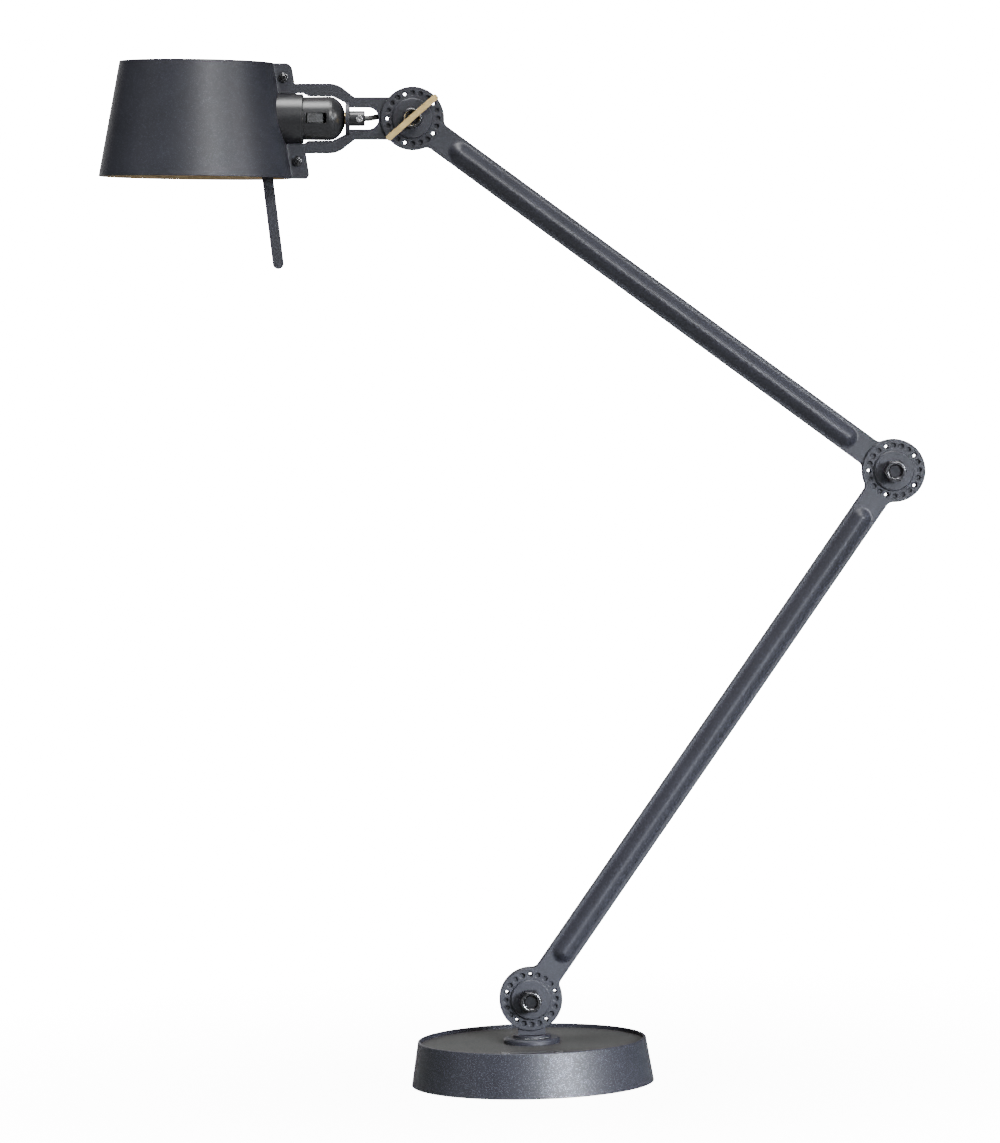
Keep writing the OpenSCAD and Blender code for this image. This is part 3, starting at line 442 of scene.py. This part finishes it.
def in_sheet(point, outline, bores):
    """True if a point lies inside the outline and in none of the bores (x, z, radius)."""
    if any(math.dist(point, bore[:2]) < bore[2] for bore in bores):
        return False
    inside = False
    for (xa, za), (xb, zb) in zip(outline, outline[1:] + outline[:1]):
        if (za > point[1]) != (zb > point[1]):
            if point[0] < xa + (xb - xa) * (point[1] - za) / (zb - za):
                inside = not inside
    return inside


def arm_half(name, start, end, inner, side, holes, body, node):
    """One pressed half of an arm; side is -1 for the front and 1 for the rear."""
    length = (end - start).length
    loops = [arm_loop(length)]
    for row in holes(length):
        loops += hole_loops(*row)
    points, edges = [], []
    for loop in loops:
        first = len(points)
        inset = moved_in(loop, EDGE)
        points += inset
        edges += [(first + k, first + (k + 1) % len(inset)) for k in range(len(inset))]
    for x in ridge_columns(length):
        for j in range(RIDGE_ROWS):
            points.append((x, (j / (RIDGE_ROWS - 1) * 2 - 1) * (RIDGE_HALF + 0.6 * MM)))
    flat, _, triangles, origin, _, _ = delaunay_2d_cdt([Vector(p) for p in points], edges, [], 0, 1e-7)
    outline = moved_in(loops[0], EDGE)
    bores = [(sum(p[0] for p in loop) / len(loop), sum(p[1] for p in loop) / len(loop),
              math.dist(loop[0], loop[len(loop) // 2]) / 2 + EDGE) for loop in loops[1:]]
    triangles = [t for t in triangles if in_sheet(sum((flat[k] for k in t), Vector((0, 0))) / 3,
                                                  outline, bores)]
    place = {}
    for k, sources in enumerate(origin):
        for source in sources:
            place[source] = k
    work = bmesh.new()
    outer = inner + SHEET

    def vertex(x, z, y):
        return work.verts.new((x, side * y, z))

    top = [vertex(p.x, p.y, outer + ridge(p.x, p.y, length)) for p in flat]
    low = [vertex(p.x, p.y, inner + ridge(p.x, p.y, length)) for p in flat]
    for a, b, c in triangles:
        work.faces.new((top[a], top[b], top[c]))
        work.faces.new((low[c], low[b], low[a]))
    first = 0
    for loop in loops:
        count = len(loop)
        rim_top = [vertex(x, z, outer - EDGE) for x, z in loop]
        rim_low = [vertex(x, z, inner + EDGE) for x, z in loop]
        ring_top = [top[place[first + k]] for k in range(count)]
        ring_low = [low[place[first + k]] for k in range(count)]
        for k in range(count):
            m = (k + 1) % count
            for a, b in ((ring_top, rim_top), (rim_top, rim_low), (rim_low, ring_low)):
                work.faces.new((a[k], b[k], b[m], a[m]))
        first += count
    for edge_side in (-1, 1):
        low_z, high_z = STRIP_HALF - SHEET, STRIP_HALF
        corners = [(x, y, z * edge_side) for x in (WALL_FROM, length - WALL_FROM)
                   for y in (SEAM, inner + EDGE) for z in (low_z, high_z)]
        v = [vertex(x, z, y) for x, y, z in corners]
        for quad in ((0, 1, 3, 2), (4, 6, 7, 5), (0, 4, 5, 1), (2, 3, 7, 6), (0, 2, 6, 4), (1, 5, 7, 3)):
            work.faces.new([v[k] for k in quad])
    bmesh.ops.recalc_face_normals(work, faces=work.faces)
    work.transform(arm_frame(start, end))
    mesh = bpy.data.meshes.new(name)
    work.to_mesh(mesh)
    work.free()
    smooth_by_angle(mesh, 40)
    link_piece(name, mesh, [charcoal], body, "charcoal_powder", node)


LOWER_INNER = 4.8 * MM
UPPER_INNER = 2.5 * MM


def lower_holes(length):
    """Rows of (place along the arm, number of holes, first hole in degrees)."""
    return [(0, INDEX_HOLES, 0), (length, INDEX_HOLES, 180)]


def upper_holes(length):
    return [(0, CATCH_HOLES, CATCH_PHASE), (length, INDEX_HOLES, 180)]


arm_half("lower_arm_front_pressed", P_BASE, P_ELBOW, LOWER_INNER, -1, lower_holes, "lower_arm",
         "lower_arm_front")
arm_half("lower_arm_rear_pressed", P_BASE, P_ELBOW, LOWER_INNER, 1, lower_holes, "lower_arm",
         "lower_arm_rear")
arm_half("upper_arm_front_pressed", P_ELBOW, P_HEAD, UPPER_INNER, -1, upper_holes, "upper_arm",
         "upper_arm_front")
arm_half("upper_arm_rear_pressed", P_ELBOW, P_HEAD, UPPER_INNER, 1, upper_holes, "upper_arm",
         "upper_arm_rear")


# ---------------------------------------------------------------- shade

SHADE_CENTRE = Vector((-177.9 * MM, 0.0, -48.2 * MM))
SHADE_LEAN = math.radians(0.76)
SHADE_R = 79 * MM
SHADE_TOP_R = 62.75 * MM
SHADE_H = 94.4 * MM
SHADE_SHEET = 1.2 * MM
SHADE_RIM_INSET = 0.15 * MM    # the leaning wall's thickness lifts its rim by about 0.1 mm
FLANGE_Y = 2.15 * MM
FLANGE_W = 15 * MM
FLANGE_CORNER = 5 * MM
BEND_R = 1.5 * MM
SKIRT_HOLE_R = 20.4 * MM
FLANGE_STEPS = 6
BEND_STEPS = 6
CONE_STEPS = 84               # half way round
HEIGHT_STEPS = 24
CORNER_STEPS = 5
TOP_SINK = 2.5 * MM


def head_frame():
    return Matrix.Translation(P_HEAD) @ Matrix.Rotation(HEAD_LEAN, 4, "Y")


def shade_frame():
    return head_frame() @ Matrix.Translation(SHADE_CENTRE) @ Matrix.Rotation(SHADE_LEAN, 4, "Y")


def sheet_path(radius, reach):
    """Plan of the rolled sheet at one height: front flange, front bend, cone, rear bend, rear flange."""
    middle = radius - SHADE_SHEET / 2
    off = FLANGE_Y + BEND_R
    bend_x = math.sqrt((middle + BEND_R) ** 2 - off ** 2)
    tilt = math.degrees(math.atan2(off, bend_x))
    front = [(reach + (bend_x - reach) * k / FLANGE_STEPS, -FLANGE_Y) for k in range(FLANGE_STEPS)]
    front += arc((bend_x, -off), BEND_R, 90, 180 - tilt, BEND_STEPS)
    cone = arc((0, 0), middle, -tilt, -180, CONE_STEPS)[1:]
    half = front + cone
    return half + [(x, -y) for x, y in reversed(half[:-1])]


def make_shade():
    work = bmesh.new()
    corner = [FLANGE_CORNER * (1 - math.cos(math.pi / 2 * k / CORNER_STEPS))
              for k in range(1, CORNER_STEPS)]
    heights = sorted(
        [SHADE_RIM_INSET + (SHADE_H - 2 * SHADE_RIM_INSET) * k / HEIGHT_STEPS
         for k in range(HEIGHT_STEPS + 1)]
        + corner
        + [SHADE_H - z for z in corner]
    )
    rows = []
    for z in heights:
        radius = SHADE_R + (SHADE_TOP_R - SHADE_R) * z / SHADE_H
        near = min(z, SHADE_H - z)
        cut = 0.0
        if near < FLANGE_CORNER:
            cut = FLANGE_CORNER - math.sqrt(FLANGE_CORNER ** 2 - (FLANGE_CORNER - near) ** 2)
        reach = radius + FLANGE_W - cut
        rows.append([work.verts.new((x, y, z)) for x, y in sheet_path(radius, reach)])
    for low, high in zip(rows, rows[1:]):
        for k in range(len(low) - 1):
            work.faces.new((low[k], low[k + 1], high[k + 1], high[k]))
    for face in work.faces:
        face.smooth = True
    bmesh.ops.recalc_face_normals(work, faces=work.faces)
    outward = sum((f.normal.dot(f.calc_center_median().normalized()) for f in work.faces))
    if outward < 0:
        bmesh.ops.reverse_faces(work, faces=work.faces)
    work.transform(shade_frame())
    mesh = bpy.data.meshes.new("shade_sheet")
    work.to_mesh(mesh)
    work.free()
    return mesh


def with_modifiers(mesh, build):
    """A copy of a mesh with the modifiers that build adds applied to it."""
    carrier = bpy.data.objects.new("carrier", mesh)
    bpy.context.scene.collection.objects.link(carrier)
    helpers = build(carrier) or []
    graph = bpy.context.evaluated_depsgraph_get()
    result = bpy.data.meshes.new_from_object(carrier.evaluated_get(graph))
    for item in [carrier, *helpers]:
        bpy.data.objects.remove(item)
    return result


def cylinder_cutter(radius, matrix, low, high):
    work = bmesh.new()
    bmesh.ops.create_cone(work, cap_ends=True, segments=96, radius1=radius, radius2=radius,
                          depth=high - low)
    work.transform(matrix @ Matrix.Translation(((low + high) / 2, 0, 0))
                   @ Matrix.Rotation(math.pi / 2, 4, "Y"))
    mesh = bpy.data.meshes.new("cutter")
    work.to_mesh(mesh)
    work.free()
    cutter = bpy.data.objects.new("cutter", mesh)
    bpy.context.scene.collection.objects.link(cutter)
    return cutter


def thicken_shade(carrier):
    carrier.data.materials.append(charcoal)
    carrier.data.materials.append(lining_gold)
    solid = carrier.modifiers.new("solid", "SOLIDIFY")
    solid.thickness = SHADE_SHEET
    solid.offset = 0.0
    solid.use_even_offset = True
    solid.material_offset = 1
    solid.material_offset_rim = 0
    cutter = cylinder_cutter(SKIRT_HOLE_R, head_frame(), -150 * MM, -60 * MM)
    hole = carrier.modifiers.new("hole", "BOOLEAN")
    hole.operation = "DIFFERENCE"
    hole.solver = "EXACT"
    hole.object = cutter
    return [cutter]


shade_mesh = with_modifiers(make_shade(), thicken_shade)
smooth_by_angle(shade_mesh, 35)
link_piece("shade_rolled", shade_mesh, [], "head", "charcoal_powder", "shade")


def lathe(name, profile, matrix, materials, material_of_row, segments=128):
    """Solid of revolution about local Z from (radius, z) points; a radius of 0 closes an end."""
    work = bmesh.new()
    rings = []
    for radius, z in profile:
        if radius == 0:
            rings.append([work.verts.new((0, 0, z))])
        else:
            rings.append([work.verts.new((radius * math.cos(math.tau * k / segments),
                                          radius * math.sin(math.tau * k / segments), z))
                          for k in range(segments)])
    for row, (a, b) in enumerate(zip(rings, rings[1:])):
        for k in range(segments):
            m = (k + 1) % segments
            corners = [a[k % len(a)], a[m % len(a)], b[m % len(b)], b[k % len(b)]]
            unique = list(dict.fromkeys(corners))
            if len(unique) > 2:
                face = work.faces.new(unique)
                face.material_index = material_of_row(row)
    bmesh.ops.recalc_face_normals(work, faces=work.faces)
    work.transform(matrix)
    mesh = bpy.data.meshes.new(name)
    work.to_mesh(mesh)
    work.free()
    for material in materials:
        mesh.materials.append(material)
    smooth_by_angle(mesh, 35)
    return mesh


# The top disc is pressed: a rim turned up against the shade and a flat that lies just below it
top_r = SHADE_TOP_R - SHADE_SHEET - 0.05 * MM
top_profile = [
    (0, -1.0 * MM), (top_r - 4 * MM, -1.0 * MM), (top_r - 1.6 * MM, -0.7 * MM),
    (top_r - 0.5 * MM, 0.0), (top_r, 1.0 * MM), (top_r, 2.2 * MM), (top_r - 0.9 * MM, 2.2 * MM),
    (top_r - 1.0 * MM, 1.0 * MM), (top_r - 1.9 * MM, 0.3 * MM), (top_r - 4 * MM, 0.0), (0, 0.0),
]
UNDERSIDE_ROWS = 4
leaning_top = shade_frame() @ Matrix.Translation((0, 0, SHADE_H - TOP_SINK))
top_mesh = lathe("shade_top_disc", top_profile, leaning_top, [charcoal, lining_gold],
                 lambda row: 1 if row < UNDERSIDE_ROWS else 0)
link_piece("shade_top_pressed", top_mesh, [], "head", "charcoal_powder", "shade_top")


# ---------------------------------------------------------------- stage and light

FLOOR_HALF = 60.0
FLOOR_GAP = 0.0002            # keeps the floor off the pad

def area_light(name, at, aim, size, watts, colour=(1.0, 1.0, 1.0), spread=180.0):
    data = bpy.data.lights.new(name, "AREA")
    data.shape = "RECTANGLE"
    data.size, data.size_y = size
    data.energy = watts
    data.color = colour
    data.spread = math.radians(spread)
    light = bpy.data.objects.new(name, data)
    bpy.context.scene.collection.objects.link(light)
    light.location = at
    light.rotation_euler = (Vector(aim) - Vector(at)).to_track_quat("-Z", "Y").to_euler()


def make_stage():
    mesh = bpy.data.meshes.new("floor")
    corners = [(-FLOOR_HALF, -FLOOR_HALF, 0), (FLOOR_HALF, -FLOOR_HALF, 0),
               (FLOOR_HALF, FLOOR_HALF, 0), (-FLOOR_HALF, FLOOR_HALF, 0)]
    mesh.from_pydata(corners, [], [(0, 1, 2, 3)])
    floor = bpy.data.objects.new("floor", mesh)
    floor.location.z = -FLOOR_GAP
    bpy.context.scene.collection.objects.link(floor)
    material, tree, shader = new_material("floor_paper")
    coords = coordinates(tree)
    tree.links.new(mix_colour(tree, noise(tree, coords, 3.0), (0.25, 0.25, 0.25), (0.28, 0.28, 0.28)),
                   shader.inputs["Base Color"])
    shader.inputs["Roughness"].default_value = 0.9
    shader.inputs["Specular IOR Level"].default_value = 0.1
    distance = tree.nodes.new("ShaderNodeVectorMath")
    distance.operation = "LENGTH"
    tree.links.new(coords, distance.inputs[0])
    shader.inputs["Emission Color"].default_value = (1.0, 1.0, 1.0, 1.0)
    glow = remap(tree, distance.outputs["Value"], 0.15, 2.0, 12.0, 24.0)
    path = tree.nodes.new("ShaderNodeLightPath")
    tree.links.new(math_node(tree, "MULTIPLY", glow, path.outputs["Is Camera Ray"]),
                   shader.inputs["Emission Strength"])
    mesh.materials.append(material)

    world = bpy.data.worlds.new("world")
    bpy.context.scene.world = world
    world.use_nodes = True
    tree = world.node_tree
    background = tree.nodes["Background"]
    path = tree.nodes.new("ShaderNodeLightPath")
    lit = remap(tree, path.outputs["Is Glossy Ray"], 0.0, 1.0, 0.22, 0.05)
    seen = remap(tree, path.outputs["Is Camera Ray"], 0.0, 1.0, 0.0, 24.0)
    strength = math_node(tree, "MAXIMUM", lit, seen)
    background.inputs["Color"].default_value = (1.0, 1.0, 1.0, 1.0)
    tree.links.new(strength, background.inputs["Strength"])


make_stage()
LOOK_AT = (0.0, 0.0, 0.45)
area_light("key", (2.3, -1.35, 1.35), (0.0, 0.0, 0.1), (0.22, 0.22), 28.0)
area_light("low_box", (1.45, -2.4, 0.75), (-0.05, 0.0, 0.0), (1.0, 0.6), 12.0, (0.88, 0.93, 1.0), 36.0)
area_light("shade_box", (0.95, -2.8, 2.25), (-0.27, 0.0, 0.82), (0.8, 0.9), 4.6, spread=40.0)
area_light("top", (-0.4, -0.4, 3.2), LOOK_AT, (2.2, 1.0), 140.0)
area_light("fill", (-3.4, -1.6, 0.9), LOOK_AT, (1.2, 2.2), 15.0)
area_light("back", (-1.2, 3.4, 1.0), LOOK_AT, (2.4, 1.6), 22.0)
